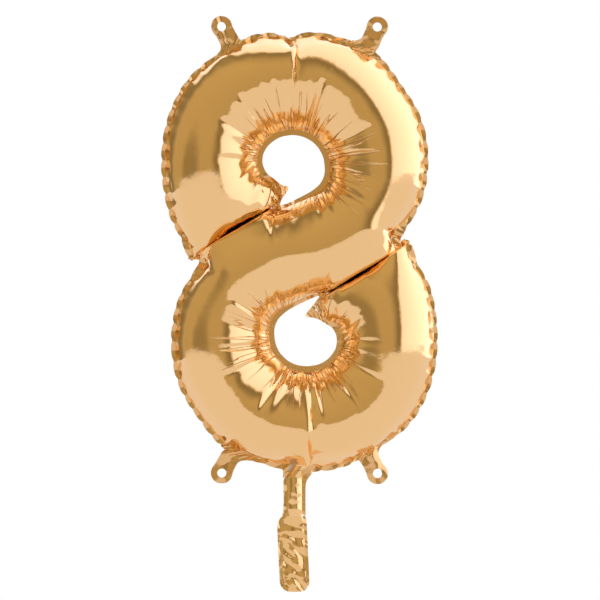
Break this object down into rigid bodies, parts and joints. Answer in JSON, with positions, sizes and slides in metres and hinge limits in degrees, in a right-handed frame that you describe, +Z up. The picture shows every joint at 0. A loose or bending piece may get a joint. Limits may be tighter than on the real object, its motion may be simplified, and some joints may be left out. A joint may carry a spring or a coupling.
{
  "type": "foil number balloon",
  "caption": "Blown-up foil balloon in the shape of a figure 8, with welded edges, four ribbon tabs and a filling neck with a flat tail.",
  "frame": {"origin": "midpoint of the line between the ribbon holes of the two top tabs, in the plane of the welds", "axes": "+X to the reader's right, +Z up, the front faces -Y"},
  "size_m": [0.2112, 0.069, 0.4587],
  "materials": {
    "gold_foil": "mirror-smooth metallised film, blown tight",
    "welded_foil": "metallised film, welded flat, puckered",
    "valve_film": "clear thin film"
  },
  "bodies": {
    "balloon": {"front_foil": "gold_foil", "back_foil": "gold_foil", "outer_seam": "welded_foil", "upper_counter_seam": "welded_foil", "lower_counter_seam": "welded_foil", "left_waist_weld": "welded_foil", "right_waist_weld": "welded_foil", "valve_front_seat": "welded_foil", "valve_back_seat": "welded_foil"},
    "top_left_tab": {"top_left_tab": "welded_foil"},
    "top_right_tab": {"top_right_tab": "welded_foil"},
    "bottom_left_tab": {"bottom_left_tab": "welded_foil"},
    "bottom_right_tab": {"bottom_right_tab": "welded_foil"},
    "tail": {"tail_front_ply": "gold_foil", "tail_back_ply": "gold_foil", "tail_left_edge": "welded_foil", "tail_right_edge": "welded_foil"},
    "valve_front": {"valve_front_film": "valve_film"},
    "valve_back": {"valve_back_film": "valve_film"}
  },
  "joints": [
    {"name": "top_left_tab_fold", "type": "hinge", "parent": "balloon", "child": "top_left_tab", "pos_m": [-0.05347, 0, -0.01504], "axis": [0.8643, 0, 0.503], "range_deg": [-90, 90], "stiffness_Nm_per_rad": 0.00002},
    {"name": "top_right_tab_fold", "type": "hinge", "parent": "balloon", "child": "top_right_tab", "pos_m": [0.05347, 0, -0.01504], "axis": [0.8643, 0, -0.503], "range_deg": [-90, 90], "stiffness_Nm_per_rad": 0.00002},
    {"name": "bottom_left_tab_fold", "type": "hinge", "parent": "balloon", "child": "bottom_left_tab", "pos_m": [-0.05347, 0, -0.34178], "axis": [-0.8643, 0, 0.503], "range_deg": [-90, 90], "stiffness_Nm_per_rad": 0.00002},
    {"name": "bottom_right_tab_fold", "type": "hinge", "parent": "balloon", "child": "bottom_right_tab", "pos_m": [0.05347, 0, -0.34178], "axis": [-0.8643, 0, -0.503], "range_deg": [-90, 90], "stiffness_Nm_per_rad": 0.00002},
    {"name": "tail_fold", "type": "hinge", "parent": "balloon", "child": "tail", "pos_m": [-0.004, 0, -0.39231], "axis": [-1, 0, 0], "range_deg": [-90, 90], "stiffness_Nm_per_rad": 0.00005},
    {"name": "valve_front_open", "type": "hinge", "parent": "balloon", "child": "valve_front", "pos_m": [-0.004, -0.0003, -0.38811], "axis": [1, 0, 0], "range_deg": [0, 3], "stiffness_Nm_per_rad": 0.0002},
    {"name": "valve_back_open", "type": "hinge", "parent": "balloon", "child": "valve_back", "pos_m": [-0.004, 0.0003, -0.38811], "axis": [-1, 0, 0], "range_deg": [0, 3], "stiffness_Nm_per_rad": 0.0002}
  ],
  "couplings": [
    {"joint": "valve_back_open", "follows": "valve_front_open", "ratio": 1}
  ]
}
